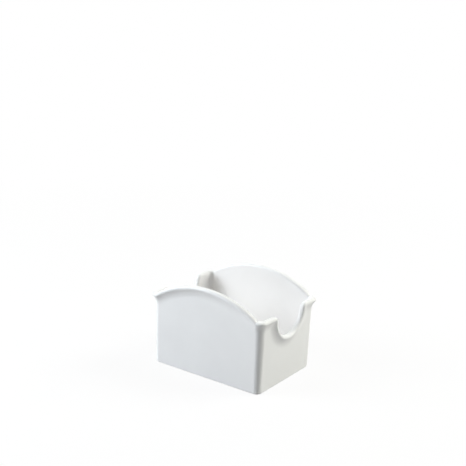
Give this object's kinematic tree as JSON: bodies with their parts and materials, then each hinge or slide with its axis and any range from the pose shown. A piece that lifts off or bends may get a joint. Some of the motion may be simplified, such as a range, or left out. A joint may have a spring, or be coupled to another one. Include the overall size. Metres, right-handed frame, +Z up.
{
  "type": "sugar packet holder",
  "caption": "Open-topped rectangular holder for sugar packets, with arched long sides, a rounded finger notch in each end, a flared rim and a foot ring.",
  "frame": {"origin": "middle of the footprint, on the surface that the holder stands on", "axes": "+X along the 80 mm length, +Y along the 60 mm width, +Z up"},
  "size_m": [0.08, 0.06, 0.0548],
  "materials": {
    "white_moulding": "satin gloss"
  },
  "bodies": {
    "root": {"holder_body": "white_moulding"}
  },
  "joints": []
}
